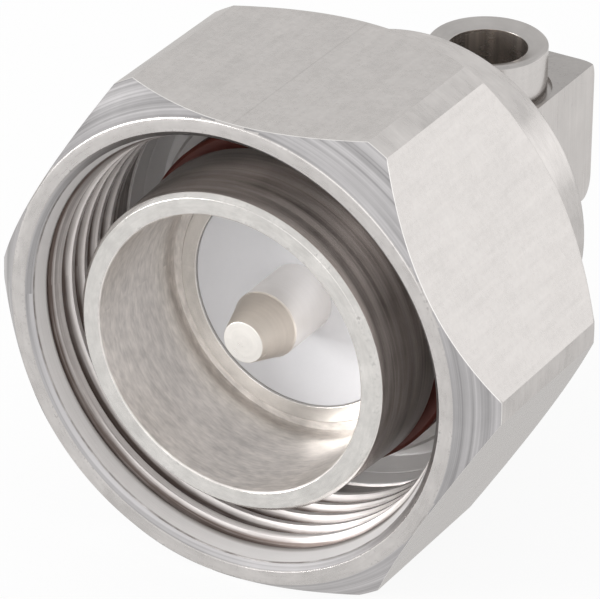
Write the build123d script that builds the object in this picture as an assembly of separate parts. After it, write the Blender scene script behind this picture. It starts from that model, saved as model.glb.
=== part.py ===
"""Right-angle coaxial plug with an M29 x 1.5 coupling nut, in millimetres.

The mating axis is Y and the open mating end faces -Y; the cable sleeve points up, +Z.
The origin lies on the mating axis in the plane of the nut's front rim.
Stations are distances along Y behind that plane, and every piece is its own solid.
"""
import os

from build123d import *

# Coupling nut, outside
NUT_ACROSS_FLATS = 32.0
NUT_CORNER_RADIUS = 18.05
NUT_RIM_OUTER_RADIUS = 15.9
NUT_FRONT_CONE_DEPTH = 2.37
NUT_REAR_CONE_START = 14.5
NUT_REAR_CONE_END = 21.45
NUT_COLLAR_RADIUS = 11.84
NUT_LENGTH = 25.1
NUT_COLLAR_EDGE = 0.25

# Coupling nut, inside
NUT_MOUTH_RADIUS = 15.0
NUT_LEAD_IN_RADIUS = 14.6
NUT_LEAD_IN_DEPTH = 0.44
THREAD_MINOR_RADIUS = 13.8
THREAD_CONE_END = 2.8
THREAD_END = 9.5
RELIEF_RADIUS = 14.6
RELIEF_END = 11.6
NUT_SMOOTH_RADIUS = 14.4
NUT_SMOOTH_END = 13.25
NUT_TAPER_END_RADIUS = 13.9
NUT_BORE_RADIUS = 10.4
NUT_GROOVE_RADIUS = 11.3

# Axial play of the nut on the ring, forwards and backwards, and its free way to the flange
NUT_PLAY_FORWARD = 0.5
NUT_PLAY_BACK = 0.6
NUT_SHOULDER_GAP = 0.8

# Outer contact: tapered tube, gasket groove and seat, flange and neck
TUBE_FRONT = 0.05
TUBE_RADIUS = 10.85
TUBE_END = 6.6
TUBE_END_RADIUS = 11.15
TUBE_BORE_RADIUS = 9.44
TUBE_EDGE_DEPTH = 0.33
TUBE_EDGE_WIDTH = 0.3
GASKET_SEAT = 10.2
GASKET_SEAT_RADIUS = 11.4
FLANGE_FRONT = 11.9
FLANGE_REAR = 14.0
FLANGE_RADIUS = 12.5
FLANGE_EDGE = 0.2
NECK_CLEARANCE = 0.1
NECK_EDGE = 0.3
TUBE_SHOULDER = 9.1
LINE_BORE_RADIUS = 6.4
LINE_BORE_START = 13.6
SPIGOT_RADIUS = 7.6
SPIGOT_START = 16.0

# Retaining ring, split so that it can be squeezed into the seat
RING_START = 17.4
RING_THICKNESS = 1.2
RING_WIDTH = 1.5
RING_SPLIT = 1.6
RING_SIDE_PLAY = 0.1
RING_GROOVE_PLAY = 0.1
RING_SQUEEZE = 0.95

# Gasket behind the tube
GASKET_THICKNESS = 1.8
GASKET_RADIUS = 11.6
GASKET_BORE_RADIUS = 10.2
GASKET_EDGE = 0.2

# Bead of the line and the bushing that holds it
BUSHING_FRONT = 8.7
BUSHING_RADIUS = 8.7
BUSHING_BORE_RADIUS = 7.63
BEAD_FRONT = 8.9
BEAD_FLANGE_FRONT = 10.6
BEAD_FLANGE_RADIUS = 8.2

# Centre pin
PIN_TIP = 1.88
PIN_TIP_RADIUS = 1.4
PIN_CONE_END = 4.5
PIN_CONE_RADIUS = 2.2
PIN_RADIUS = 2.28
PIN_SEAT_RADIUS = 1.9
PIN_HEAD_RADIUS = 2.8
PIN_END = 16.0
PIN_SOCKET_DEPTH = 3.5

# Inner contact that turns the corner towards the cable
ELBOW_RADIUS = 1.05
ELBOW_CUP_RADIUS = 1.35
ELBOW_CUP_FRONT = 1.97
ELBOW_CUP_REAR = 1.93
ELBOW_EDGE = 0.2
ELBOW_HOLE_RADIUS = 0.6
ELBOW_SLOT_WIDTH = 0.5

# Rear insulator
REAR_INSULATOR_START = 16.5
REAR_INSULATOR_SETBACK = 4.67
REAR_INSULATOR_RADIUS = 3.4

# Angle body: a turned barrel with two milled sides and a milled top
BARREL_RADIUS = 6.9
BARREL_END = 39.9
BARREL_REAR_ROUND = 1.1
BODY_HALF_WIDTH = 4.55
BODY_TOP = 4.67
CHAMBER_RADIUS = 2.3
CAP_THICKNESS = 1.4
CAP_RADIUS = 2.95
CAP_EDGE = 0.3
CAP_DIMPLE_RADIUS = 0.9
CAP_DIMPLE_DEPTH = 0.4

# Cable sleeve
SLEEVE_SETBACK = 6.73
SLEEVE_RADIUS = 4.01
SLEEVE_TOP = 7.87
SLEEVE_OUTER_EDGE = 0.15
SLEEVE_BEVEL_RADIUS = 3.6
SLEEVE_BORE_RADIUS = 2.65
SLEEVE_BEVEL_DEPTH = 0.35
SLEEVE_FOOT_RADIUS = 3.45
SLEEVE_FOOT_END = 2.4
FOOT_RECESS_RADIUS = 4.35
FOOT_RECESS_DEPTH = 0.27

# Sizes that follow from the ones above
NUT_SHOULDER = FLANGE_REAR + NUT_SHOULDER_GAP
NECK_RADIUS = NUT_BORE_RADIUS - NECK_CLEARANCE
NECK_END = NUT_LENGTH
GASKET_FRONT = GASKET_SEAT - GASKET_THICKNESS
RING_END = RING_START + RING_THICKNESS
RING_OUTER_RADIUS = NUT_GROOVE_RADIUS - RING_GROOVE_PLAY
RING_INNER_RADIUS = RING_OUTER_RADIUS - RING_WIDTH
RING_SEAT_START = RING_START - RING_SIDE_PLAY
RING_SEAT_END = RING_END + RING_SIDE_PLAY
RING_SEAT_RADIUS = RING_INNER_RADIUS - RING_SQUEEZE
NUT_GROOVE_START = RING_START - NUT_PLAY_BACK
NUT_GROOVE_END = RING_END + NUT_PLAY_FORWARD
CAP_SEAT = BARREL_END - CAP_THICKNESS
SLEEVE_STATION = BARREL_END - SLEEVE_SETBACK
ELBOW_CUP_START = SLEEVE_STATION - ELBOW_CUP_FRONT
ELBOW_CUP_END = SLEEVE_STATION + ELBOW_CUP_REAR
REAR_INSULATOR_END = SLEEVE_STATION - REAR_INSULATOR_SETBACK


def turned(profile):
    """Solid of revolution about the mating axis from (station, radius) pairs."""
    outline = Polyline([(radius, station) for station, radius in profile], close=True)
    return revolve(make_face(outline), axis=Axis.Y)


def upright(profile):
    """Solid of revolution about the cable axis from (height, radius) pairs."""
    points = [(radius, 0, height) for height, radius in profile]
    face = make_face(Polyline(points, close=True))
    return Pos(0, SLEEVE_STATION, 0) * revolve(face, axis=Axis.Z)


def coupling_nut():
    """Hexagonal nut with turned ends and a rear collar; the bore is at the thread's crests."""
    hexagon = RegularPolygon(NUT_ACROSS_FLATS / 2, 6, major_radius=False)
    bar = extrude(Plane.XZ * hexagon, amount=-NUT_LENGTH)
    outside = turned([
        (0, 0), (0, NUT_RIM_OUTER_RADIUS),
        (NUT_FRONT_CONE_DEPTH, NUT_CORNER_RADIUS),
        (NUT_REAR_CONE_START, NUT_CORNER_RADIUS),
        (NUT_REAR_CONE_END, NUT_COLLAR_RADIUS),
        (NUT_LENGTH - NUT_COLLAR_EDGE, NUT_COLLAR_RADIUS),
        (NUT_LENGTH, NUT_COLLAR_RADIUS - NUT_COLLAR_EDGE),
        (NUT_LENGTH, 0)])
    inside = turned([
        (-1, 0), (-1, NUT_MOUTH_RADIUS), (0, NUT_MOUTH_RADIUS),
        (NUT_LEAD_IN_DEPTH, NUT_LEAD_IN_RADIUS),
        (THREAD_CONE_END, THREAD_MINOR_RADIUS),
        (THREAD_END, THREAD_MINOR_RADIUS),
        (THREAD_END, RELIEF_RADIUS), (RELIEF_END, RELIEF_RADIUS),
        (RELIEF_END, NUT_SMOOTH_RADIUS), (NUT_SMOOTH_END, NUT_SMOOTH_RADIUS),
        (NUT_SHOULDER, NUT_TAPER_END_RADIUS), (NUT_SHOULDER, NUT_BORE_RADIUS),
        (NUT_GROOVE_START, NUT_BORE_RADIUS), (NUT_GROOVE_START, NUT_GROOVE_RADIUS),
        (NUT_GROOVE_END, NUT_GROOVE_RADIUS), (NUT_GROOVE_END, NUT_BORE_RADIUS),
        (NUT_LENGTH + 1, NUT_BORE_RADIUS), (NUT_LENGTH + 1, 0)])
    return (bar & outside) - inside


def retaining_ring():
    """Split ring that sits in the neck's groove and carries the nut."""
    ring = turned([
        (RING_START, RING_INNER_RADIUS), (RING_START, RING_OUTER_RADIUS),
        (RING_END, RING_OUTER_RADIUS), (RING_END, RING_INNER_RADIUS)])
    middle = RING_START + RING_THICKNESS / 2
    split = Pos(0, middle, -RING_OUTER_RADIUS) * Box(
        RING_SPLIT, 2 * RING_THICKNESS, 2 * RING_WIDTH + RING_OUTER_RADIUS)
    return ring - split


def outer_contact():
    """Tapered tube, gasket groove and seat, flange and neck turned from one bar."""
    return turned([
        (TUBE_FRONT, TUBE_BORE_RADIUS),
        (TUBE_FRONT, TUBE_RADIUS - TUBE_EDGE_WIDTH),
        (TUBE_FRONT + TUBE_EDGE_DEPTH, TUBE_RADIUS),
        (TUBE_END, TUBE_END_RADIUS), (TUBE_END, GASKET_BORE_RADIUS),
        (GASKET_SEAT, GASKET_BORE_RADIUS), (GASKET_SEAT, GASKET_SEAT_RADIUS),
        (FLANGE_FRONT, GASKET_SEAT_RADIUS),
        (FLANGE_FRONT, FLANGE_RADIUS - FLANGE_EDGE),
        (FLANGE_FRONT + FLANGE_EDGE, FLANGE_RADIUS),
        (FLANGE_REAR, FLANGE_RADIUS), (FLANGE_REAR, NECK_RADIUS),
        (RING_SEAT_START, NECK_RADIUS), (RING_SEAT_START, RING_SEAT_RADIUS),
        (RING_SEAT_END, RING_SEAT_RADIUS), (RING_SEAT_END, NECK_RADIUS),
        (NECK_END - NECK_EDGE, NECK_RADIUS), (NECK_END, NECK_RADIUS - NECK_EDGE),
        (NECK_END, SPIGOT_RADIUS), (SPIGOT_START, SPIGOT_RADIUS),
        (SPIGOT_START, LINE_BORE_RADIUS), (LINE_BORE_START, LINE_BORE_RADIUS),
        (LINE_BORE_START, BEAD_FLANGE_RADIUS), (BEAD_FLANGE_FRONT, BEAD_FLANGE_RADIUS),
        (BEAD_FLANGE_FRONT, BUSHING_RADIUS), (TUBE_SHOULDER, BUSHING_RADIUS),
        (TUBE_SHOULDER, TUBE_BORE_RADIUS)])


def interface_gasket():
    """Soft ring in the groove behind the tube, against the gasket seat."""
    return turned([
        (GASKET_FRONT, GASKET_BORE_RADIUS),
        (GASKET_FRONT, GASKET_RADIUS - GASKET_EDGE),
        (GASKET_FRONT + GASKET_EDGE, GASKET_RADIUS),
        (GASKET_SEAT, GASKET_RADIUS), (GASKET_SEAT, GASKET_BORE_RADIUS)])


def bead_bushing():
    """Metal bushing pressed in front of the bead; its face is the contact plane."""
    return turned([
        (BUSHING_FRONT, BUSHING_BORE_RADIUS), (BUSHING_FRONT, BUSHING_RADIUS),
        (BEAD_FLANGE_FRONT, BUSHING_RADIUS), (BEAD_FLANGE_FRONT, BUSHING_BORE_RADIUS)])


def front_insulator():
    """White bead that centres the pin in the tube."""
    return turned([
        (BEAD_FRONT, PIN_SEAT_RADIUS), (BEAD_FRONT, BUSHING_BORE_RADIUS),
        (BEAD_FLANGE_FRONT, BUSHING_BORE_RADIUS),
        (BEAD_FLANGE_FRONT, BEAD_FLANGE_RADIUS),
        (LINE_BORE_START, BEAD_FLANGE_RADIUS), (LINE_BORE_START, PIN_SEAT_RADIUS)])


def centre_pin():
    """Pin with a cone tip, a seat in the bead, and a head with a socket behind it."""
    return turned([
        (PIN_TIP, 0), (PIN_TIP, PIN_TIP_RADIUS),
        (PIN_CONE_END, PIN_CONE_RADIUS),
        (PIN_CONE_END + (PIN_RADIUS - PIN_CONE_RADIUS), PIN_RADIUS),
        (BEAD_FRONT, PIN_RADIUS), (BEAD_FRONT, PIN_SEAT_RADIUS),
        (LINE_BORE_START, PIN_SEAT_RADIUS), (LINE_BORE_START, PIN_HEAD_RADIUS),
        (PIN_END, PIN_HEAD_RADIUS), (PIN_END, ELBOW_RADIUS),
        (PIN_END - PIN_SOCKET_DEPTH, ELBOW_RADIUS), (PIN_END - PIN_SOCKET_DEPTH, 0)])


def elbow_contact():
    """Rod from the pin's socket to the cable axis, cross-drilled and slotted for the conductor."""
    rod = turned([
        (PIN_END - PIN_SOCKET_DEPTH, 0), (PIN_END - PIN_SOCKET_DEPTH, ELBOW_RADIUS),
        (ELBOW_CUP_START, ELBOW_RADIUS), (ELBOW_CUP_START, ELBOW_CUP_RADIUS),
        (ELBOW_CUP_END - ELBOW_EDGE, ELBOW_CUP_RADIUS),
        (ELBOW_CUP_END, ELBOW_CUP_RADIUS - ELBOW_EDGE), (ELBOW_CUP_END, 0)])
    hole = Pos(0, SLEEVE_STATION, 0) * Cylinder(ELBOW_HOLE_RADIUS, 4 * ELBOW_CUP_RADIUS)
    slot_length = 2 * (ELBOW_CUP_END - SLEEVE_STATION)
    slot = Pos(0, ELBOW_CUP_END, 0) * Box(
        ELBOW_SLOT_WIDTH, slot_length, 4 * ELBOW_CUP_RADIUS)
    return rod - hole - slot


def rear_insulator():
    """White sleeve that carries the rod in the angle body."""
    return turned([
        (REAR_INSULATOR_START, ELBOW_RADIUS), (REAR_INSULATOR_START, REAR_INSULATOR_RADIUS),
        (REAR_INSULATOR_END, REAR_INSULATOR_RADIUS), (REAR_INSULATOR_END, ELBOW_RADIUS)])


def angle_body():
    """Spigot in the neck, and a barrel with milled sides and top that turns the corner."""
    barrel = turned([
        (NECK_END, 0), (NECK_END, BARREL_RADIUS),
        (BARREL_END, BARREL_RADIUS), (BARREL_END, 0)])
    rear_rim = barrel.edges().filter_by(GeomType.CIRCLE).sort_by(Axis.Y)[-1]
    barrel = fillet(rear_rim, BARREL_REAR_ROUND)
    length = BARREL_END - NECK_END
    depth = BARREL_RADIUS + BODY_TOP
    milled = Pos(0, NECK_END + length / 2, BODY_TOP - depth / 2) * Box(
        2 * BODY_HALF_WIDTH, length, depth)
    spigot = turned([
        (SPIGOT_START, 0), (SPIGOT_START, SPIGOT_RADIUS),
        (NECK_END, SPIGOT_RADIUS), (NECK_END, 0)])
    bores = turned([
        (SPIGOT_START - 1, 0), (SPIGOT_START - 1, REAR_INSULATOR_RADIUS),
        (REAR_INSULATOR_END, REAR_INSULATOR_RADIUS),
        (REAR_INSULATOR_END, CHAMBER_RADIUS), (CAP_SEAT, CHAMBER_RADIUS),
        (CAP_SEAT, CAP_RADIUS), (BARREL_END + 1, CAP_RADIUS), (BARREL_END + 1, 0)])
    cable_way = upright([
        (-CHAMBER_RADIUS, 0), (-CHAMBER_RADIUS, CHAMBER_RADIUS),
        (SLEEVE_FOOT_END, CHAMBER_RADIUS), (SLEEVE_FOOT_END, SLEEVE_FOOT_RADIUS),
        (BODY_TOP - FOOT_RECESS_DEPTH, SLEEVE_FOOT_RADIUS),
        (BODY_TOP - FOOT_RECESS_DEPTH, FOOT_RECESS_RADIUS),
        (BODY_TOP + 1, FOOT_RECESS_RADIUS), (BODY_TOP + 1, 0)])
    return (barrel & milled) + spigot - bores - cable_way


def rear_cap():
    """Disc pressed into the rear of the barrel over the soldering access."""
    return turned([
        (CAP_SEAT, 0), (CAP_SEAT, CAP_RADIUS),
        (BARREL_END - CAP_EDGE, CAP_RADIUS), (BARREL_END, CAP_RADIUS - CAP_EDGE),
        (BARREL_END, CAP_DIMPLE_RADIUS), (BARREL_END - CAP_DIMPLE_DEPTH, 0)])


def cable_sleeve():
    """Upright sleeve that takes the cable's outer conductor, pressed into the body's top."""
    shoulder = BODY_TOP - FOOT_RECESS_DEPTH
    return upright([
        (SLEEVE_FOOT_END, SLEEVE_BORE_RADIUS), (SLEEVE_FOOT_END, SLEEVE_FOOT_RADIUS),
        (shoulder, SLEEVE_FOOT_RADIUS), (shoulder, SLEEVE_RADIUS),
        (SLEEVE_TOP - SLEEVE_OUTER_EDGE, SLEEVE_RADIUS),
        (SLEEVE_TOP, SLEEVE_RADIUS - SLEEVE_OUTER_EDGE),
        (SLEEVE_TOP, SLEEVE_BEVEL_RADIUS),
        (SLEEVE_TOP - SLEEVE_BEVEL_DEPTH, SLEEVE_BORE_RADIUS)])


PIECES = {
    "coupling_nut": coupling_nut,
    "retaining_ring": retaining_ring,
    "outer_contact": outer_contact,
    "interface_gasket": interface_gasket,
    "bead_bushing": bead_bushing,
    "front_insulator": front_insulator,
    "centre_pin": centre_pin,
    "elbow_contact": elbow_contact,
    "rear_insulator": rear_insulator,
    "angle_body": angle_body,
    "rear_cap": rear_cap,
    "cable_sleeve": cable_sleeve,
}

os.makedirs("parts", exist_ok=True)
for name, make in PIECES.items():
    export_step(make(), os.path.join("parts", name + ".step"))
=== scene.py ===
"""Looks of the right-angle coaxial plug: plated metal, white bead, red gasket, helical thread."""

import math

import bmesh
import bpy
import numpy as np
from mathutils import Matrix, Vector


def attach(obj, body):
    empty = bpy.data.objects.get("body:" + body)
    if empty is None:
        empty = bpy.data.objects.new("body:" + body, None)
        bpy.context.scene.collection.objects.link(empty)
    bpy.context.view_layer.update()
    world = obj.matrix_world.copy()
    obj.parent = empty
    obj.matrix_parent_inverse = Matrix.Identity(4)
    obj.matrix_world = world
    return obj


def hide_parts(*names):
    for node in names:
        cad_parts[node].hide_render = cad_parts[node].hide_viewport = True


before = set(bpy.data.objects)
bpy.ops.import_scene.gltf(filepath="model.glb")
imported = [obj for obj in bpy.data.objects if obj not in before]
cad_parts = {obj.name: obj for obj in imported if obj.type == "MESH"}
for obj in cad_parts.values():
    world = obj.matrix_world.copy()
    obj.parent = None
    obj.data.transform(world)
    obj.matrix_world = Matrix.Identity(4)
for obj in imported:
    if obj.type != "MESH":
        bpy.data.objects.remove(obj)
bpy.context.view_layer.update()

MM = 0.001
TURN = 2 * math.pi

# Coupling nut, outside, in millimetres as in the solids
SIDES = 6
SIDE_DEGREES = 60
NUT_ACROSS_FLATS = 32.0
NUT_CORNER_RADIUS = 18.05
NUT_RIM_OUTER_RADIUS = 15.9
NUT_FRONT_SLOPE = 1.1
NUT_REAR_CONE = 16.8
NUT_REAR_SLOPE = 1.12
NUT_COLLAR_START = 21.5
NUT_COLLAR_RADIUS = 11.84
NUT_LENGTH = 25.1
FLAT_EDGE = 0.08
FLAT_EDGE_SINK = 0.012
FLAT_EDGE_BAND = 0.25
RIM_EDGE_BAND = 0.09

# Coupling nut, inside
NUT_RIM_INNER_RADIUS = 15.03
NUT_LEAD_IN_RADIUS = 14.6
NUT_LEAD_IN_DEPTH = 0.44
RELIEF_RADIUS = 14.6
RELIEF_END = 11.6
NUT_SMOOTH_RADIUS = 14.4
NUT_SMOOTH_END = 13.25
NUT_TAPER_END_RADIUS = 13.9
NUT_SHOULDER = 14.8
NUT_BORE_RADIUS = 10.4
NUT_GROOVE_RADIUS = 11.3
NUT_GROOVE_START = 16.8
NUT_GROOVE_END = 19.1

# Thread, which fades out of the lead-in cone and stops at the relief
PITCH = 1.5
THREAD_MAJOR_RADIUS = 14.5
THREAD_MINOR_RADIUS = 13.8
CREST_FLAT = PITCH / 4
ROOT_FLAT = PITCH / 8
THREAD_CONE_END = 2.8
THREAD_START = 1.25
THREAD_FULL = 2.1
THREAD_END = 9.5
THREAD_SHIFT = 0.58

# Rings round the nut as (along, radius): the sharp edges have two or three rings close together
NUT_RIM_MIDDLE_RADIUS = 15.45
RIM_RINGS = [
    (0.0, NUT_RIM_INNER_RADIUS), (0.0, NUT_RIM_INNER_RADIUS + 0.02), (0.0, NUT_RIM_MIDDLE_RADIUS),
    (0.0, NUT_RIM_OUTER_RADIUS - 0.06), (0.012, NUT_RIM_OUTER_RADIUS - 0.015),
    (0.06, NUT_RIM_OUTER_RADIUS + 0.045)]
COLLAR_RINGS = [
    (NUT_COLLAR_START - 0.25, NUT_COLLAR_RADIUS + 0.18),
    (NUT_COLLAR_START - 0.08, NUT_COLLAR_RADIUS + 0.03), (NUT_COLLAR_START, NUT_COLLAR_RADIUS),
    (NUT_COLLAR_START + 0.2, NUT_COLLAR_RADIUS), (NUT_LENGTH - 0.4, NUT_COLLAR_RADIUS),
    (NUT_LENGTH - 0.25, NUT_COLLAR_RADIUS), (NUT_LENGTH - 0.15, NUT_COLLAR_RADIUS - 0.04),
    (NUT_LENGTH - 0.04, NUT_COLLAR_RADIUS - 0.15), (NUT_LENGTH, NUT_COLLAR_RADIUS - 0.24)]
REAR_BORE_RINGS = [
    (NUT_LENGTH, NUT_BORE_RADIUS + 0.1), (NUT_LENGTH, NUT_BORE_RADIUS + 0.06),
    (NUT_LENGTH - 0.02, NUT_BORE_RADIUS + 0.02), (NUT_LENGTH - 0.06, NUT_BORE_RADIUS),
    (NUT_LENGTH - 0.2, NUT_BORE_RADIUS)]
GROOVE_RINGS = [
    (NUT_GROOVE_END, NUT_BORE_RADIUS), (NUT_GROOVE_END, NUT_GROOVE_RADIUS),
    (NUT_GROOVE_START, NUT_GROOVE_RADIUS), (NUT_GROOVE_START, NUT_BORE_RADIUS)]
SHOULDER_RINGS = [
    (NUT_SHOULDER + 0.1, NUT_BORE_RADIUS), (NUT_SHOULDER, NUT_BORE_RADIUS + 0.1),
    (NUT_SHOULDER, NUT_TAPER_END_RADIUS - 0.1), (NUT_SHOULDER - 0.05, NUT_TAPER_END_RADIUS),
    (NUT_SHOULDER - 0.15, NUT_TAPER_END_RADIUS + 0.05)]
SMOOTH_BORE_RINGS = [
    (NUT_SMOOTH_END + 0.09, NUT_SMOOTH_RADIUS - 0.03),
    (NUT_SMOOTH_END + 0.05, NUT_SMOOTH_RADIUS - 0.02), (NUT_SMOOTH_END, NUT_SMOOTH_RADIUS + 0.03),
    (NUT_SMOOTH_END - 0.05, NUT_SMOOTH_RADIUS), (NUT_SMOOTH_END - 0.15, NUT_SMOOTH_RADIUS),
    (RELIEF_END + 0.1, NUT_SMOOTH_RADIUS), (RELIEF_END + 0.04, NUT_SMOOTH_RADIUS + 0.02),
    (RELIEF_END, NUT_SMOOTH_RADIUS + 0.08)]
RELIEF_RINGS = [
    (RELIEF_END - 0.05, RELIEF_RADIUS), (THREAD_END + 0.08, RELIEF_RADIUS),
    (THREAD_END + 0.04, RELIEF_RADIUS - 0.04)]
CHAMFER_RINGS = [
    (NUT_LEAD_IN_DEPTH, NUT_LEAD_IN_RADIUS), (NUT_LEAD_IN_DEPTH - 0.04, NUT_LEAD_IN_RADIUS + 0.035),
    (0.06, NUT_RIM_INNER_RADIUS - 0.07), (0.012, NUT_RIM_INNER_RADIUS - 0.03),
    (0.0, NUT_RIM_INNER_RADIUS)]

# Outer contact: tube, gasket groove and seat, flange and neck
TUBE_FRONT = 0.05
TUBE_RADIUS = 10.85
TUBE_END = 6.6
TUBE_END_RADIUS = 11.15
TUBE_BORE_RADIUS = 9.44
TUBE_BORE_CHAMFER = 0.1
TUBE_EDGE_DEPTH = 0.33
TUBE_EDGE_WIDTH = 0.3
TUBE_SHOULDER = 9.1
GASKET_SEAT = 10.2
GASKET_SEAT_RADIUS = 11.4
FLANGE_FRONT = 11.9
FLANGE_REAR = 14.0
FLANGE_RADIUS = 12.5
FLANGE_EDGE = 0.2
NECK_RADIUS = 10.3
NECK_EDGE = 0.3
RING_SEAT_START = 17.3
RING_SEAT_END = 18.7
RING_SEAT_RADIUS = 8.75
SPIGOT_START = 16.0
SPIGOT_RADIUS = 7.6
LINE_BORE_START = 13.6
LINE_BORE_RADIUS = 6.4

# Gasket, bushing and bead
GASKET_FRONT = 8.4
GASKET_RADIUS = 11.6
GASKET_BORE_RADIUS = 10.2
GASKET_EDGE = 0.2
BUSHING_FRONT = 8.7
BUSHING_RADIUS = 8.7
BUSHING_BORE_RADIUS = 7.63
BUSHING_OUTER_EDGE = 0.06
BUSHING_INNER_EDGE = 0.04
BEAD_FRONT = 8.9
BEAD_EDGE = 0.05
BEAD_FLANGE_FRONT = 10.6
BEAD_FLANGE_RADIUS = 8.2

# Centre pin
PIN_TIP = 1.88
PIN_TIP_RADIUS = 1.4
PIN_CONE_END = 4.5
PIN_CONE_RADIUS = 2.2
PIN_SHANK_START = 4.62
PIN_RADIUS = 2.28
PIN_SEAT_RADIUS = 1.9
PIN_HEAD_RADIUS = 2.8
PIN_HEAD_EDGE = 0.3
PIN_END = 16.0
PIN_SOCKET = 12.5
PIN_SOCKET_RADIUS = 1.05

# Rear cap and cable sleeve
BARREL_END = 39.9
CAP_THICKNESS = 1.4
CAP_RADIUS = 2.95
CAP_EDGE = 0.3
CAP_DIMPLE_RADIUS = 0.9
CAP_DIMPLE_DEPTH = 0.4
SLEEVE_STATION = 33.17
SLEEVE_FOOT_END = 2.4
SLEEVE_FOOT_RADIUS = 3.45
SLEEVE_SHOULDER = 4.4
SLEEVE_RADIUS = 4.01
SLEEVE_TOP = 7.87
SLEEVE_OUTER_EDGE = 0.15
SLEEVE_BEVEL_RADIUS = 3.6
SLEEVE_BEVEL_DEPTH = 0.35
SLEEVE_BORE_RADIUS = 2.65

# Sizes that follow from the ones above
HALF_FLATS = NUT_ACROSS_FLATS / 2
TUBE_FACE_RADIUS = TUBE_BORE_RADIUS + TUBE_BORE_CHAMFER
TUBE_SIDE_FRONT = TUBE_FRONT + TUBE_EDGE_DEPTH

# Fineness of the meshes
WELD = 1e-7
TINY_EDGE = 1e-8
STEPS_PER_EDGE = 3
MOST_EDGE_SHARE = 0.45
STEPS_PER_FLAT = 60
STEPS_PER_CORNER = 6
STEPS_PER_PITCH = 18


# Mesh making

def add_mesh(name, verts, faces, sharp=26.0):
    """Object from vertices in millimetres, welded, smooth apart from edges over the angle."""
    mesh = bpy.data.meshes.new(name)
    mesh.from_pydata([(x * MM, y * MM, z * MM) for x, y, z in verts], [], faces)
    welded = bmesh.new()
    welded.from_mesh(mesh)
    bmesh.ops.remove_doubles(welded, verts=welded.verts, dist=WELD)
    bmesh.ops.dissolve_degenerate(welded, dist=TINY_EDGE, edges=welded.edges)
    bmesh.ops.recalc_face_normals(welded, faces=welded.faces)
    welded.to_mesh(mesh)
    welded.free()
    mesh.shade_smooth()
    mesh.set_sharp_from_angle(angle=math.radians(sharp))
    piece = bpy.data.objects.new(name, mesh)
    bpy.context.scene.collection.objects.link(piece)
    return piece


def eased(points):
    """Closed profile of (along, radius, edge radius) with each edge rounded by its radius."""
    out = []
    count = len(points)
    for i, (along, radius, ease) in enumerate(points):
        here = np.array([along, radius])
        if ease <= 0:
            out.append((along, radius))
            continue
        before = np.array(points[i - 1][:2]) - here
        after = np.array(points[(i + 1) % count][:2]) - here
        before_length, after_length = np.linalg.norm(before), np.linalg.norm(after)
        before, after = before / before_length, after / after_length
        half = math.acos(max(-1, min(1, float(before @ after)))) / 2
        cut = min(ease / math.tan(half), MOST_EDGE_SHARE * before_length, MOST_EDGE_SHARE * after_length)
        start, end = here + before * cut, here + after * cut
        for k in range(STEPS_PER_EDGE + 1):
            t = k / STEPS_PER_EDGE
            p = (1 - t) ** 2 * start + 2 * t * (1 - t) * here + t * t * end
            out.append((float(p[0]), float(p[1])))
    return out


def lathe(name, profile, segments, upright=False):
    """Closed turned piece from (along, radius, edge radius) points, about Y or the sleeve's axis."""
    outline = eased(profile)
    verts, faces = [], []
    rows = len(outline)
    for i in range(segments):
        cosine, sine = math.cos(TURN * i / segments), math.sin(TURN * i / segments)
        for along, radius in outline:
            if upright:
                verts.append((radius * cosine, SLEEVE_STATION + radius * sine, along))
            else:
                verts.append((radius * cosine, along, radius * sine))
    for i in range(segments):
        j = (i + 1) % segments
        for k in range(rows):
            after = (k + 1) % rows
            faces.append((i * rows + k, i * rows + after, j * rows + after, j * rows + k))
    return add_mesh(name, verts, faces)


# Coupling nut

def hex_radius(angle):
    """Radius of the turned hexagon at an angle from +X, corners on +X."""
    side = math.radians(SIDE_DEGREES)
    off = (angle - math.radians(SIDE_DEGREES / 2)) % side
    off = min(off, side - off)
    return min(HALF_FLATS / math.cos(off), NUT_CORNER_RADIUS)


def nut_angles():
    """Angles round the nut, with the limits of the flats among them."""
    half = math.degrees(math.acos(HALF_FLATS / NUT_CORNER_RADIUS))
    angles = []
    for flat in range(SIDES):
        middle = SIDE_DEGREES / 2 + SIDE_DEGREES * flat
        following = middle + SIDE_DEGREES - half
        angles += list(np.linspace(middle - half, middle + half, STEPS_PER_FLAT, endpoint=False))
        angles += list(np.linspace(middle + half, following, STEPS_PER_CORNER, endpoint=False))
    return [math.radians(a) for a in angles]


def thread_radius(phase):
    """Radius of the internal thread at a phase from 0 to 1 along one pitch."""
    depth = THREAD_MAJOR_RADIUS - THREAD_MINOR_RADIUS
    from_crest = abs((phase % 1.0) - 0.5) * PITCH
    flank = depth / (0.5 * PITCH - ROOT_FLAT / 2 - CREST_FLAT / 2)
    height = (from_crest - CREST_FLAT / 2) * flank
    return THREAD_MINOR_RADIUS + max(0.0, min(depth, height))


def wall_radius(y, turns):
    """Radius of the nut's inner wall: the turned lead-in, into which the thread fades."""
    slope = (NUT_LEAD_IN_RADIUS - THREAD_MINOR_RADIUS) / (THREAD_CONE_END - NUT_LEAD_IN_DEPTH)
    cone = max(THREAD_MINOR_RADIUS, NUT_LEAD_IN_RADIUS - (y - NUT_LEAD_IN_DEPTH) * slope)
    thread = thread_radius((y + THREAD_SHIFT) / PITCH - turns)
    t = min(1.0, max(0.0, (y - THREAD_START) / (THREAD_FULL - THREAD_START)))
    return cone + max(0.0, thread - cone) * t * t * (3 - 2 * t)


def plain_rings(points):
    """Rings through (along, radius) points, the same at every angle."""
    return [lambda angle, point=point: point for point in points]


def front_ring(offset, sink=0.0):
    """Ring near the front edge of the flats: down the cone below 0, else along the flat and sunk."""
    def ring(angle):
        radius = hex_radius(angle)
        along = (radius - NUT_RIM_OUTER_RADIUS) * NUT_FRONT_SLOPE
        if offset < 0:
            return along + offset * NUT_FRONT_SLOPE, radius + offset
        return along + offset, radius - sink
    return ring


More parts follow.
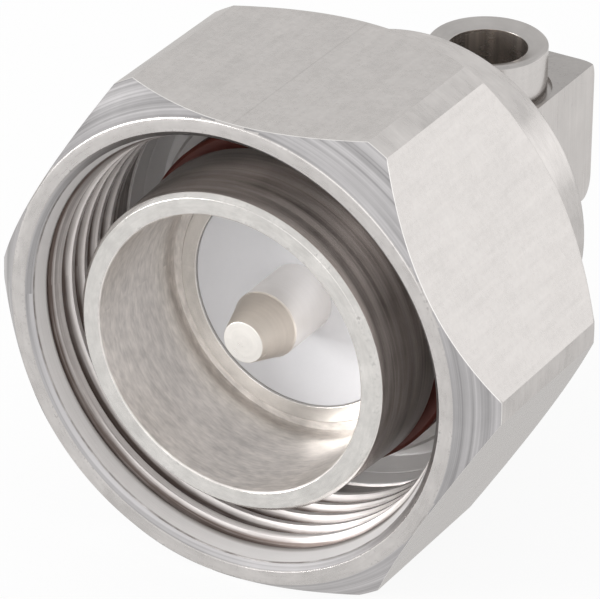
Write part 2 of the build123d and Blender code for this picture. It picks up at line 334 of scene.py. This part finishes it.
def rear_ring(offset, sink=0.0):
    """Ring near the rear edge of the flats: down the cone above 0, else along the flat and sunk."""
    def ring(angle):
        radius = hex_radius(angle)
        along = NUT_REAR_CONE - (radius - HALF_FLATS) * NUT_REAR_SLOPE
        if offset > 0:
            return along + offset * NUT_REAR_SLOPE, radius - offset
        return along + offset, radius - sink
    return ring


def thread_end_ring(angle):
    """Ring where the thread stops."""
    return THREAD_END, wall_radius(THREAD_END, (angle % TURN) / TURN)


def add_rings(verts, faces, rings):
    """Adds rings given as functions of the angle, each joined to the next."""
    angles = nut_angles()
    count = len(angles)
    start = len(verts)
    for ring in rings:
        for angle in angles:
            along, radius = ring(angle)
            verts.append((radius * math.cos(angle), along, radius * math.sin(angle)))
    for k in range(len(rings) - 1):
        base = start + k * count
        for i in range(count):
            j = (i + 1) % count
            faces.append((base + i, base + j, base + count + j, base + count + i))


def add_thread(verts, faces):
    """Adds the thread, whose rows follow the helix and are held between its two end planes."""
    angles = nut_angles()
    count = len(angles)
    low = int(math.floor((NUT_LEAD_IN_DEPTH / PITCH - 1) * STEPS_PER_PITCH))
    high = int(math.ceil(THREAD_END / PITCH * STEPS_PER_PITCH))
    start = len(verts)
    for j in range(low, high + 1):
        for i in range(count + 1):
            angle = angles[i] if i < count else angles[0] + TURN
            turned = (angle - angles[0]) / TURN
            along = min(max((j / STEPS_PER_PITCH + turned) * PITCH, NUT_LEAD_IN_DEPTH), THREAD_END)
            radius = wall_radius(along, angle / TURN)
            verts.append((radius * math.cos(angle), along, radius * math.sin(angle)))
    for k in range(high - low):
        for i in range(count):
            base = start + k * (count + 1) + i
            faces.append((base, base + 1, base + count + 2, base + count + 1))


def coupling_nut():
    """Hexagonal nut as one skin: rings from the rim round to the relief, the thread, the chamfer."""
    front_edge = [front_ring(-RIM_EDGE_BAND), front_ring(-FLAT_EDGE), front_ring(0.0, FLAT_EDGE_SINK),
                  front_ring(FLAT_EDGE), front_ring(FLAT_EDGE_BAND)]
    rear_edge = [rear_ring(-FLAT_EDGE_BAND), rear_ring(-FLAT_EDGE), rear_ring(0.0, FLAT_EDGE_SINK),
                 rear_ring(FLAT_EDGE), rear_ring(FLAT_EDGE_BAND)]
    inside = (COLLAR_RINGS + REAR_BORE_RINGS + GROOVE_RINGS + SHOULDER_RINGS + SMOOTH_BORE_RINGS
              + RELIEF_RINGS)
    verts, faces = [], []
    add_rings(verts, faces, plain_rings(RIM_RINGS) + front_edge + rear_edge + plain_rings(inside))
    add_rings(verts, faces, plain_rings(RELIEF_RINGS[-1:]) + [thread_end_ring])
    add_thread(verts, faces)
    add_rings(verts, faces, plain_rings(CHAMFER_RINGS))
    return add_mesh("coupling_nut_threaded", verts, faces, sharp=24.0)


nut = coupling_nut()


# Turned pieces, whose points are (along the axis, radius, edge radius)

tube = lathe("outer_contact_tube", [
    (TUBE_FRONT, TUBE_FACE_RADIUS, 0.05),
    (TUBE_FRONT, TUBE_RADIUS - TUBE_EDGE_WIDTH, 0.06),
    (TUBE_SIDE_FRONT, TUBE_RADIUS, 0.07),
    (TUBE_END, TUBE_END_RADIUS, 0.06), (TUBE_END, GASKET_BORE_RADIUS, 0),
    (GASKET_SEAT, GASKET_BORE_RADIUS, 0), (GASKET_SEAT, GASKET_SEAT_RADIUS, 0.05),
    (FLANGE_FRONT, GASKET_SEAT_RADIUS, 0.03),
    (FLANGE_FRONT, FLANGE_RADIUS - FLANGE_EDGE, 0.05),
    (FLANGE_FRONT + FLANGE_EDGE, FLANGE_RADIUS, 0.05),
    (FLANGE_REAR, FLANGE_RADIUS, 0.08), (FLANGE_REAR, NECK_RADIUS, 0.05),
    (RING_SEAT_START, NECK_RADIUS, 0.05), (RING_SEAT_START, RING_SEAT_RADIUS, 0.05),
    (RING_SEAT_END, RING_SEAT_RADIUS, 0.05), (RING_SEAT_END, NECK_RADIUS, 0.05),
    (NUT_LENGTH - NECK_EDGE, NECK_RADIUS, 0.06), (NUT_LENGTH, NECK_RADIUS - NECK_EDGE, 0.06),
    (NUT_LENGTH, SPIGOT_RADIUS, 0), (SPIGOT_START, SPIGOT_RADIUS, 0),
    (SPIGOT_START, LINE_BORE_RADIUS, 0.03), (LINE_BORE_START, LINE_BORE_RADIUS, 0),
    (LINE_BORE_START, BEAD_FLANGE_RADIUS, 0), (BEAD_FLANGE_FRONT, BEAD_FLANGE_RADIUS, 0),
    (BEAD_FLANGE_FRONT, BUSHING_RADIUS, 0), (TUBE_SHOULDER, BUSHING_RADIUS, 0.02),
    (TUBE_SHOULDER, TUBE_BORE_RADIUS, 0.02),
    (TUBE_FRONT + TUBE_BORE_CHAMFER, TUBE_BORE_RADIUS, 0.04)], 256)

bushing = lathe("bead_bushing_ring", [
    (BUSHING_FRONT, BUSHING_BORE_RADIUS + BUSHING_INNER_EDGE, 0.03),
    (BUSHING_FRONT, BUSHING_RADIUS - BUSHING_OUTER_EDGE, 0.03),
    (BUSHING_FRONT + BUSHING_OUTER_EDGE, BUSHING_RADIUS, 0.02),
    (BEAD_FLANGE_FRONT, BUSHING_RADIUS, 0), (BEAD_FLANGE_FRONT, BUSHING_BORE_RADIUS, 0),
    (BUSHING_FRONT + BUSHING_INNER_EDGE, BUSHING_BORE_RADIUS, 0.02)], 224)

bead = lathe("front_insulator_bead", [
    (BEAD_FRONT, PIN_SEAT_RADIUS, 0), (BEAD_FRONT, BUSHING_BORE_RADIUS - BEAD_EDGE, 0.04),
    (BEAD_FRONT + BEAD_EDGE, BUSHING_BORE_RADIUS, 0.02),
    (BEAD_FLANGE_FRONT, BUSHING_BORE_RADIUS, 0), (BEAD_FLANGE_FRONT, BEAD_FLANGE_RADIUS, 0),
    (LINE_BORE_START, BEAD_FLANGE_RADIUS, 0), (LINE_BORE_START, PIN_SEAT_RADIUS, 0)], 192)

pin = lathe("centre_pin_turned", [
    (PIN_TIP, 0.0, 0), (PIN_TIP, PIN_TIP_RADIUS, 0.09), (PIN_CONE_END, PIN_CONE_RADIUS, 0.12),
    (PIN_SHANK_START, PIN_RADIUS, 0.12), (BEAD_FRONT, PIN_RADIUS, 0),
    (BEAD_FRONT, PIN_SEAT_RADIUS, 0), (LINE_BORE_START, PIN_SEAT_RADIUS, 0.02),
    (LINE_BORE_START, PIN_HEAD_RADIUS, 0.05), (PIN_END - PIN_HEAD_EDGE, PIN_HEAD_RADIUS, 0.08),
    (PIN_END, PIN_HEAD_RADIUS - PIN_HEAD_EDGE, 0.05), (PIN_END, PIN_SOCKET_RADIUS, 0),
    (PIN_SOCKET, PIN_SOCKET_RADIUS, 0), (PIN_SOCKET, 0.0, 0)], 128)

gasket = lathe("interface_gasket_ring", [
    (GASKET_FRONT, GASKET_BORE_RADIUS, 0.1), (GASKET_FRONT, GASKET_RADIUS - GASKET_EDGE, 0.12),
    (GASKET_FRONT + GASKET_EDGE, GASKET_RADIUS, 0.12),
    (GASKET_SEAT - GASKET_EDGE, GASKET_RADIUS, 0.15),
    (GASKET_SEAT, GASKET_RADIUS - GASKET_EDGE, 0.1), (GASKET_SEAT, GASKET_BORE_RADIUS, 0.02)], 192)

sleeve = lathe("cable_sleeve_turned", [
    (SLEEVE_FOOT_END, SLEEVE_BORE_RADIUS, 0), (SLEEVE_FOOT_END, SLEEVE_FOOT_RADIUS, 0.05),
    (SLEEVE_SHOULDER, SLEEVE_FOOT_RADIUS, 0.02), (SLEEVE_SHOULDER, SLEEVE_RADIUS, 0.06),
    (SLEEVE_TOP - SLEEVE_OUTER_EDGE, SLEEVE_RADIUS, 0.06),
    (SLEEVE_TOP, SLEEVE_RADIUS - SLEEVE_OUTER_EDGE, 0.05),
    (SLEEVE_TOP, SLEEVE_BEVEL_RADIUS, 0.03),
    (SLEEVE_TOP - SLEEVE_BEVEL_DEPTH, SLEEVE_BORE_RADIUS, 0.08)], 192, upright=True)

cap = lathe("rear_cap_disc", [
    (BARREL_END - CAP_THICKNESS, 0.0, 0), (BARREL_END - CAP_THICKNESS, CAP_RADIUS, 0),
    (BARREL_END - CAP_EDGE, CAP_RADIUS, 0.05), (BARREL_END, CAP_RADIUS - CAP_EDGE, 0.08),
    (BARREL_END, CAP_DIMPLE_RADIUS, 0.08), (BARREL_END - CAP_DIMPLE_DEPTH, 0.0, 0)], 96)

for piece, node, body, finish in (
        (nut, "coupling_nut", "nut", "plated_nut"),
        (tube, "outer_contact", "plug", "plated_contact"),
        (bushing, "bead_bushing", "plug", "plated_contact"),
        (bead, "front_insulator", "plug", "white_ptfe"),
        (pin, "centre_pin", "plug", "silver_pin"),
        (gasket, "interface_gasket", "plug", "red_silicone"),
        (sleeve, "cable_sleeve", "plug", "plated_body"),
        (cap, "rear_cap", "plug", "plated_body")):
    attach(piece, body)
    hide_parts(node)

body_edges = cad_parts["angle_body"].modifiers.new("edges", "BEVEL")
body_edges.width = 0.08 * MM
body_edges.segments = 2
body_edges.limit_method = "ANGLE"
body_edges.angle_limit = math.radians(35)


# Materials

def scaled(colour, factor):
    return tuple(min(1.0, c * factor) for c in colour)


class Nodes:
    """Short way to write a material's nodes."""

    def __init__(self, name):
        self.material = bpy.data.materials.new(name)
        self.material.use_nodes = True
        self.tree = self.material.node_tree
        self.shader = self.tree.nodes["Principled BSDF"]
        self.place = None

    def add(self, kind, inputs=(), **settings):
        node = self.tree.nodes.new(kind)
        for key, value in settings.items():
            setattr(node, key, value)
        for key, value in dict(inputs).items():
            if hasattr(value, "is_output"):
                self.tree.links.new(value, node.inputs[key])
            else:
                node.inputs[key].default_value = value
        return node

    def axes(self):
        """The object's own x, y and z in metres."""
        self.place = self.add("ShaderNodeTexCoord").outputs["Object"]
        split = self.add("ShaderNodeSeparateXYZ", {0: self.place}).outputs
        return split[0], split[1], split[2]

    def math(self, operation, a, b=0.0):
        return self.add("ShaderNodeMath", {0: a, 1: b}, operation=operation).outputs[0]

    def times(self, a, b):
        return self.math("MULTIPLY", a, b)

    def polar(self, x, z):
        """Radius and angle about the turning axis."""
        radius = self.math("SQRT", self.math("ADD", self.times(x, x), self.times(z, z)))
        return radius, self.math("ARCTAN2", z, x)

    def blend(self, a, b, share):
        """Sum of two values, the first by its share and the second by the rest."""
        return self.math("ADD", self.times(a, share), self.times(b, 1 - share))

    def noise(self, vector, scale, detail=3.0, rough=0.5):
        return self.add("ShaderNodeTexNoise", {"Vector": vector, "Scale": scale, "Detail": detail,
                                               "Roughness": rough}).outputs["Fac"]

    def marks(self, values, scales, detail=2.0, rough=0.5):
        """Noise over three values, each stretched by its own scale."""
        stretched = {i: self.times(value, scale) for i, (value, scale) in enumerate(zip(values, scales))}
        return self.noise(self.add("ShaderNodeCombineXYZ", stretched).outputs[0], 1.0, detail, rough)

    def ramp(self, value, low, high, to_low=0.0, to_high=1.0):
        return self.add("ShaderNodeMapRange", {"Value": value, "From Min": low, "From Max": high,
                                               "To Min": to_low, "To Max": to_high}).outputs[0]

    def near(self, value, place, full, gone, most):
        """The most within full millimetres of a place, and nothing beyond gone millimetres."""
        off = self.math("ABSOLUTE", self.math("SUBTRACT", value, place * MM))
        return self.ramp(off, full * MM, gone * MM, most, 0.0)

    def mixed(self, share, first, second):
        """Colour that goes from the first to the second with the share."""
        node = self.add("ShaderNodeMix", {"Factor": share}, data_type="RGBA")
        for key, value in (("A", first), ("B", second)):
            socket = [s for s in node.inputs if s.name == key and s.type == "RGBA"][0]
            if hasattr(value, "is_output"):
                self.tree.links.new(value, socket)
            else:
                socket.default_value = (*value, 1.0)
        return [s for s in node.outputs if s.type == "RGBA"][0]

    def mottled(self, tone, spread, colour, blotch):
        """The colour, darker and lighter by the blotch as the tone goes across the spread."""
        share = self.ramp(tone, 0.5 - spread, 0.5 + spread)
        return self.mixed(share, scaled(colour, 1 - blotch), scaled(colour, 1 + blotch))

    def link(self, output, socket):
        self.tree.links.new(output, self.shader.inputs[socket])

    def roughness(self, tone, middle, below, above):
        self.link(self.ramp(tone, 0.3, 0.7, middle - below, middle + above), "Roughness")

    def bump(self, height, strength, distance):
        self.link(self.add("ShaderNodeBump", {"Strength": strength, "Distance": distance * MM,
                                              "Height": height}).outputs[0], "Normal")


# Places of marks, in millimetres
WEAR_DEPTH = 0.4
FLAT_LINE_X = 0.15
FLAT_LINE_BOTTOM = 15.5
RIM_LINE = 0.48
ROOT_TINT_RADII = (13.86, 14.22)
ROOT_TINT_STATIONS = (1.35, 1.75)

# Scales of marks, in waves to a metre
FINE_TURNING = 5200.0
COARSE_TURNING = 1700.0
THREAD_TURNING = 7000.0
MILLING = 4200.0
MILLING_ALONG = 150.0
GRAIN = 2600.0
GRAIN_ALONG = 160.0
SPECKS = 4600.0
CLOUDS = 330.0
MILLED_CLOUDS = 380.0
NUT_CLOUDS = 420.0

SOFT_SPREAD = 0.16
GRAZING = (0.8, 0.79, 0.78, 1.0)


def metal(name, metallic=1.0):
    """Nodes of a metal that dulls a little at grazing angles."""
    nodes = Nodes(name)
    nodes.shader.inputs["Metallic"].default_value = metallic
    nodes.shader.inputs["Specular Tint"].default_value = GRAZING
    return nodes


def turned_metal(name, colour, rough, depth, blotch=0.08, upright=False, streak=0.0, metallic=1.0,
                 contrast=SOFT_SPREAD, lined=0.4, worn=(), short=0.8):
    """Plated metal with turning marks, shorter for a larger short, and specks at the edges in worn."""
    nodes = metal(name, metallic)
    x, y, z = nodes.axes()
    if upright:
        y, z = z, nodes.math("SUBTRACT", y, SLEEVE_STATION * MM)
    radius, angle = nodes.polar(x, z)
    fine = nodes.marks((radius, y, angle), (FINE_TURNING, FINE_TURNING, short))
    coarse = nodes.marks((radius, y, angle), (COARSE_TURNING, COARSE_TURNING, 0.6 * short))
    broad = nodes.noise(nodes.place, CLOUDS, 4.0, 0.6)
    marks = nodes.blend(fine, coarse, 0.45)
    tone = nodes.blend(marks, broad, lined)
    if streak:
        around = (nodes.math("COSINE", angle), nodes.math("SINE", angle), y)
        tone = nodes.blend(tone, nodes.marks(around, (4.0, 4.0, 25.0), 3.0, 0.6), 1 - streak)
    shade = nodes.mottled(tone, contrast, colour, blotch)
    for edge, wear in worn:
        near = nodes.near(radius, edge, 0.02, 0.3, 1.0)
        near = nodes.times(near, nodes.math("LESS_THAN", y, WEAR_DEPTH * MM))
        specks = nodes.ramp(nodes.noise(nodes.place, SPECKS, 3.0, 0.6), 0.54, 0.66, 0.0, wear)
        patches = nodes.times(nodes.ramp(broad, 0.44, 0.6), specks)
        shade = nodes.mixed(nodes.times(near, patches), shade, scaled(colour, 0.3))
    nodes.link(shade, "Base Color")
    nodes.roughness(nodes.blend(marks, broad, 0.5), rough, 0.05, 0.06)
    nodes.bump(marks, 0.3, depth)
    return nodes.material


def flat_metal(name, colour, rough, blotch):
    """Plated metal of the nut's flats: broad clouds, a fine grain and a faint line along the top."""
    nodes = metal(name)
    x, y, z = nodes.axes()
    broad = nodes.noise(nodes.place, NUT_CLOUDS, 4.0, 0.6)
    medium = nodes.noise(nodes.place, GRAIN, 4.0, 0.65)
    lines = nodes.marks((x, y, z), (GRAIN, GRAIN_ALONG, GRAIN))
    tone = nodes.blend(nodes.blend(broad, medium, 0.45), lines, 0.8)
    line = nodes.near(x, FLAT_LINE_X, 0.03, 0.07, 0.16)
    line = nodes.times(line, nodes.math("GREATER_THAN", z, FLAT_LINE_BOTTOM * MM))
    shade = nodes.mottled(tone, 0.14, colour, blotch)
    nodes.link(nodes.mixed(line, shade, scaled(colour, 0.4)), "Base Color")
    nodes.roughness(nodes.blend(medium, broad, 0.5), rough, 0.04, 0.06)
    nodes.bump(nodes.blend(medium, lines, 0.5), 0.22, 0.012)
    return nodes.material


def thread_metal(name, crest, root, lead, rough):
    """Plated metal of the nut's inside: crests and lead-in painted near white as painted light, darker and
    browner towards the roots of the thread.
    """
    nodes = Nodes(name)
    nodes.shader.inputs["Metallic"].default_value = 0.4
    x, y, z = nodes.axes()
    radius, angle = nodes.polar(x, z)
    marks = nodes.marks((radius, y, angle), (THREAD_TURNING, THREAD_TURNING, 1.6), 3.0, 0.6)
    broad = nodes.noise(nodes.place, NUT_CLOUDS, 3.0, 0.6)
    relief = nodes.ramp(y, (THREAD_END + 0.05) * MM, (THREAD_END + 0.1) * MM, 1.0, 0.5)
    deep = nodes.times(nodes.ramp(radius, ROOT_TINT_RADII[0] * MM, ROOT_TINT_RADII[1] * MM), relief)
    begin = nodes.ramp(y, ROOT_TINT_STATIONS[0] * MM, ROOT_TINT_STATIONS[1] * MM)
    worn = nodes.ramp(nodes.blend(marks, broad, 0.7), 0.3, 0.7, -0.18, 0.18)
    rim_line = nodes.near(y, RIM_LINE, 0.03, 0.12, 0.75)
    rim_line = nodes.times(rim_line, nodes.ramp(broad, 0.35, 0.6, 0.3, 1.0))
    share = nodes.math("ADD", nodes.times(nodes.math("ADD", deep, worn), begin), rim_line)
    nodes.link(nodes.mixed(nodes.ramp(share, 0.0, 1.0), nodes.mixed(begin, lead, crest), root), "Base Color")
    nodes.roughness(nodes.blend(marks, broad, 0.5), rough, 0.05, 0.07)
    nodes.bump(marks, 0.45, 0.028)
    return nodes.material


def milled_metal(name, colour, shaded_top_colour, rough, blotch):
    """Plated metal with fine upright brushing and a mottled finish, darker on its level top as painted
    shade.
    """
    nodes = metal(name)
    x, y, z = nodes.axes()
    lines = nodes.marks((x, y, z), (MILLING, MILLING, MILLING_ALONG), 3.0, 0.55)
    tone = nodes.blend(lines, nodes.noise(nodes.place, MILLED_CLOUDS, 4.0, 0.6), 0.5)
    # Painted shade: faces that point up take the darker top colour
    facing = nodes.add("ShaderNodeTexCoord").outputs["Normal"]
    level = nodes.ramp(nodes.add("ShaderNodeSeparateXYZ", {0: facing}).outputs[2], 0.8, 0.95)
    sides = nodes.mottled(tone, SOFT_SPREAD, colour, blotch)
    top = nodes.mottled(tone, SOFT_SPREAD, shaded_top_colour, blotch)
    nodes.link(nodes.mixed(level, sides, top), "Base Color")
    nodes.roughness(tone, rough, 0.05, 0.07)
    nodes.bump(lines, 0.3, 0.012)
    return nodes.material


def soft_plastic(name, colour, rough, scale, depth, blotch):
    """Plastic or rubber with a fine uneven surface."""
    nodes = Nodes(name)
    nodes.axes()
    fine = nodes.noise(nodes.place, scale * 9, 2.0)
    tone = nodes.blend(nodes.noise(nodes.place, scale, 4.0), fine, 0.7)
    nodes.link(nodes.mottled(tone, SOFT_SPREAD, colour, blotch), "Base Color")
    nodes.roughness(fine, rough, 0.06, 0.06)
    nodes.bump(fine, 0.25, depth)
    return nodes.material


PLATE = (0.56, 0.536, 0.52)
# Painted light: near white, far lighter than the plating, for the lead-in and the smooth bore inside the nut
PAINTED_LIGHT_WHITE = (0.95, 0.93, 0.92)

nut_metal = turned_metal(
    "nut_plating", PLATE, rough=0.28, depth=0.022, blotch=0.15, short=14.0,
    worn=((15.04, 0.6), (NUT_RIM_OUTER_RADIUS, 0.5)))
flats_metal = flat_metal("nut_flats", scaled(PLATE, 0.95), rough=0.27, blotch=0.09)
cone_metal = turned_metal(
    "nut_cone", (0.45, 0.437, 0.44), rough=0.3, depth=0.055, blotch=0.3, contrast=0.11, lined=0.9)
# Painted highlight: the eased front edges of the flats take a lighter copy of the plating, standing in for
# the light they catch
edge_highlight_metal = turned_metal("nut_edge_painted_highlight", (0.78, 0.76, 0.74), rough=0.32, depth=0.02, blotch=0.12)
# Painted light: the crests are nearly white, far lighter than the outside plating; the roots are darker and
# browner
inside_metal = thread_metal(
    "nut_inside", crest=(0.92, 0.88, 0.86), root=(0.11, 0.08, 0.068), lead=PAINTED_LIGHT_WHITE, rough=0.36)
# Painted light: the smooth bore and shoulder inside the nut, nearly white and hardly metallic
seat_painted_light_metal = turned_metal("seat_painted_light", PAINTED_LIGHT_WHITE, rough=0.36, depth=0.015, blotch=0.04, metallic=0.1)
contact_metal = turned_metal(
    "contact_plating", (0.66, 0.64, 0.615), rough=0.22, depth=0.018, blotch=0.14, short=12.0,
    worn=((9.5, 0.4), (10.6, 0.35)))
# Painted shade: a darker copy of the contact plating on the tube's side inside the nut
tube_side_shaded_metal = turned_metal(
    "tube_side_painted_shade", (0.53, 0.495, 0.475), rough=0.22, depth=0.02, blotch=0.34, contrast=0.13,
    lined=0.8)
bore_metal = turned_metal(
    "tube_bore_plating", (0.75, 0.715, 0.685), rough=0.37, depth=0.012, blotch=0.18, metallic=0.8,
    contrast=0.13, lined=0.75, short=14.0)
# Painted light: a lighter, mostly matte copy of the contact plating on the gasket seat and flange inside the
# nut
flange_painted_light_metal = turned_metal(
    "flange_painted_light", (0.8, 0.77, 0.75), rough=0.36, depth=0.015, blotch=0.08, metallic=0.3)
# Painted shade: the sleeve's upward-facing rim is a darker copy of its plating
sleeve_top_shaded_metal = turned_metal(
    "sleeve_top_painted_shade", scaled(PLATE, 0.74), rough=0.3, depth=0.015, blotch=0.12, upright=True)
sleeve_bore_metal = turned_metal(
    "sleeve_bore_plating", (0.55, 0.5, 0.46), rough=0.26, depth=0.02, blotch=0.45, upright=True,
    streak=0.75, metallic=0.9)
sleeve_metal = turned_metal(
    "sleeve_plating", scaled(PLATE, 1.12), rough=0.24, depth=0.015, blotch=0.09, upright=True,
    streak=0.5)
# Painted shade: the body's level top is a darker copy of its plating
body_metal = milled_metal(
    "body_plating", scaled(PLATE, 1.08), scaled(PLATE, 0.68), rough=0.3, blotch=0.09)
pin_metal = turned_metal(
    "pin_plating", (0.83, 0.795, 0.75), rough=0.3, depth=0.001, blotch=0.06, lined=0.7)
# Painted reflection: the shank is a near-white copy of the pin's plating, standing in for the white bead it
# reflects
shank_reflection_metal = turned_metal(
    "pin_shank_painted_reflection", (0.97, 0.95, 0.93), rough=0.34, depth=0.001, blotch=0.03, lined=0.7,
    metallic=0.8)
bronze = turned_metal("ring_bronze", (0.62, 0.44, 0.24), rough=0.3, depth=0.015)
ptfe = soft_plastic("bead_white", (0.66, 0.66, 0.68), rough=0.45, scale=300.0, depth=0.012, blotch=0.02)
silicone = soft_plastic(
    "gasket_red", (0.13, 0.03, 0.02), rough=0.5, scale=500.0, depth=0.02, blotch=0.12)


# Painting, with a chooser for each piece that has several materials

ON_FLAT = 0.01
FLAT_TILT = 0.05
EDGE_HIGHLIGHT_TILT, CONE_TILT = -0.1, -0.6
CONE_STATIONS = (0.1, 3.2)
SEAT_STATIONS = (11.58, 15.0)
FLANGE_STATIONS = (9.5, 14.5)


def nut_material(centre, normal):
    radius = math.hypot(centre.x, centre.z)
    middles = [TURN * (k + 0.5) / SIDES for k in range(SIDES)]
    across = max(centre.x * math.cos(a) + centre.z * math.sin(a) for a in middles)
    if abs(across - HALF_FLATS) < ON_FLAT and abs(normal.y) < FLAT_TILT:
        return flats_metal
    if SEAT_STATIONS[0] < centre.y < SEAT_STATIONS[1] and radius < THREAD_MAJOR_RADIUS:
        return seat_painted_light_metal
    if centre.y > NUT_LEAD_IN_DEPTH - 0.01 and centre.x * normal.x + centre.z * normal.z < 0:
        return inside_metal
    # Faces between the flats and the front cone take the painted edge highlight
    if CONE_STATIONS[0] < centre.y < CONE_STATIONS[1] and normal.y < EDGE_HIGHLIGHT_TILT:
        return cone_metal if normal.y < CONE_TILT else edge_highlight_metal
    return nut_metal


def tube_material(centre, normal):
    if math.hypot(centre.x, centre.z) < TUBE_BORE_RADIUS + 0.06 and centre.y < TUBE_SHOULDER + 0.1:
        return bore_metal
    if FLANGE_STATIONS[0] < centre.y < FLANGE_STATIONS[1]:
        return flange_painted_light_metal
    # The tube's side inside the nut takes the painted shade
    return tube_side_shaded_metal if TUBE_SIDE_FRONT < centre.y < FLANGE_STATIONS[0] else contact_metal


def pin_material(centre, normal):
    # The shank takes the painted reflection
    return shank_reflection_metal if centre.y > PIN_SHANK_START - 0.02 else pin_metal


def sleeve_material(centre, normal):
    if math.hypot(centre.x, centre.y - SLEEVE_STATION) < SLEEVE_BORE_RADIUS + 0.01:
        return sleeve_bore_metal
    # Faces that point up take the painted shade
    return sleeve_top_shaded_metal if normal.z > 0.5 else sleeve_metal


def paint(thing, *materials, choose=None):
    """Gives the piece its materials, and each face the one chosen from its centre and normal."""
    thing.data.materials.clear()
    for material in materials:
        thing.data.materials.append(material)
    if choose:
        for face in thing.data.polygons:
            face.material_index = materials.index(choose(face.center / MM, face.normal))


paint(nut, nut_metal, flats_metal, inside_metal, seat_painted_light_metal, cone_metal, edge_highlight_metal, choose=nut_material)
paint(tube, contact_metal, bore_metal, flange_painted_light_metal, tube_side_shaded_metal, choose=tube_material)
paint(pin, pin_metal, shank_reflection_metal, choose=pin_material)
paint(sleeve, sleeve_metal, sleeve_bore_metal, sleeve_top_shaded_metal, choose=sleeve_material)
paint(bushing, contact_metal)
paint(bead, ptfe)
paint(gasket, silicone)
paint(cap, contact_metal)
for node, material in (("angle_body", body_metal), ("retaining_ring", bronze),
                       ("elbow_contact", pin_metal), ("rear_insulator", ptfe)):
    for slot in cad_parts[node].material_slots:
        slot.material = material


# Camera, from the photograph

AZ, EL, ROLL = math.radians(30.08), math.radians(28.578), math.radians(0.708)
DISTANCE_MM = 340.735
FOCAL_PIXELS = 5500.0
ORIGIN_PIXELS = (227.353, 355.175)
PHOTO_PIXELS = (600.0, 599.0)
SENSOR_MM = 36.0

back = Vector((math.sin(AZ) * math.cos(EL), -math.cos(AZ) * math.cos(EL), math.sin(EL)))
right = Vector((math.cos(AZ), math.sin(AZ), 0.0))
level = Matrix((right, back.cross(right), back))
roll = Matrix(((math.cos(ROLL), math.sin(ROLL), 0), (-math.sin(ROLL), math.cos(ROLL), 0), (0, 0, 1)))
turn = roll @ level
shift = Vector(((ORIGIN_PIXELS[0] - PHOTO_PIXELS[0] / 2) / FOCAL_PIXELS * DISTANCE_MM,
                -(ORIGIN_PIXELS[1] - PHOTO_PIXELS[1] / 2) / FOCAL_PIXELS * DISTANCE_MM, -DISTANCE_MM))
camera = bpy.data.objects.new("camera", bpy.data.cameras.new("camera"))
bpy.context.scene.collection.objects.link(camera)
camera.matrix_world = Matrix.LocRotScale(-(turn.transposed() @ shift) * MM,
                                         turn.transposed().to_quaternion(), None)
camera.data.sensor_width = SENSOR_MM
camera.data.lens = FOCAL_PIXELS * SENSOR_MM / PHOTO_PIXELS[0]
camera.data.clip_start = 0.05
camera.data.clip_end = 10.0
bpy.context.scene.camera = camera


# Floor, world and lamps, in metres

FLOOR_REACH = 1.5
FLOOR_GAP = 0.00002
FLOOR_WHITE = 0.9
FLOOR_GLOW = 0.9
WORLD_LIGHT, WORLD_SEEN = 0.85, 1.0
AIM = (0, 0.012, 0)


def seen_rays(tree):
    """1 for rays of the camera, of gloss and of glass, and 0 for the light itself."""
    rays = tree.nodes.new("ShaderNodeLightPath").outputs
    seen = rays["Is Camera Ray"]
    for kind in ("Is Glossy Ray", "Is Transmission Ray"):
        most = tree.nodes.new("ShaderNodeMath")
        most.operation = "MAXIMUM"
        tree.links.new(seen, most.inputs[0])
        tree.links.new(rays[kind], most.inputs[1])
        seen = most.outputs[0]
    return seen


corners = [(x * FLOOR_REACH, y * FLOOR_REACH, 0) for x, y in ((-1, -1), (1, -1), (1, 1), (-1, 1))]
floor_mesh = bpy.data.meshes.new("floor")
floor_mesh.from_pydata(corners, [], [(0, 1, 2, 3)])
floor = bpy.data.objects.new("floor", floor_mesh)
floor.location = (0, 0, -HALF_FLATS * MM - FLOOR_GAP)
bpy.context.scene.collection.objects.link(floor)
white = Nodes("floor_white")
white.shader.inputs["Base Color"].default_value = (FLOOR_WHITE, FLOOR_WHITE, FLOOR_WHITE, 1)
white.shader.inputs["Roughness"].default_value = 0.9
white.shader.inputs["Specular IOR Level"].default_value = 0.0
glow = white.add("ShaderNodeEmission", {"Color": (1, 1, 1, 1), "Strength": 1.0})
mix = white.add("ShaderNodeMixShader", {"Fac": white.times(seen_rays(white.tree), FLOOR_GLOW),
                                        1: white.shader.outputs[0], 2: glow.outputs[0]})
white.tree.links.new(mix.outputs[0], white.tree.nodes["Material Output"].inputs["Surface"])
paint(floor, white.material)

world = bpy.data.worlds.new("studio")
bpy.context.scene.world = world
world.use_nodes = True
sky = world.node_tree
sky.nodes.clear()
strength = sky.nodes.new("ShaderNodeMapRange")
strength.inputs["To Min"].default_value = WORLD_LIGHT
strength.inputs["To Max"].default_value = WORLD_SEEN
sky.links.new(seen_rays(sky), strength.inputs["Value"])
lit = sky.nodes.new("ShaderNodeBackground")
lit.inputs["Color"].default_value = (1, 1, 1, 1)
sky.links.new(strength.outputs[0], lit.inputs["Strength"])
out = sky.nodes.new("ShaderNodeOutputWorld")
sky.links.new(lit.outputs[0], out.inputs["Surface"])


def lamp(name, place, size, power):
    """Round area lamp aimed at the object."""
    data = bpy.data.lights.new(name, "AREA")
    data.shape = "DISK"
    data.size = size
    data.energy = power
    thing = bpy.data.objects.new(name, data)
    thing.location = place
    thing.rotation_mode = "QUATERNION"
    thing.rotation_quaternion = (Vector(AIM) - Vector(place)).to_track_quat("-Z", "Y")
    bpy.context.scene.collection.objects.link(thing)


lamp("front", (0.05, -0.46, 0.14), size=0.4, power=0.35)
lamp("left", (-0.38, -0.34, 0.07), size=0.24, power=2.2)
lamp("back", (0.38, 0.47, 0.1), size=0.4, power=0.21)

bpy.context.scene.view_settings.view_transform = "Standard"
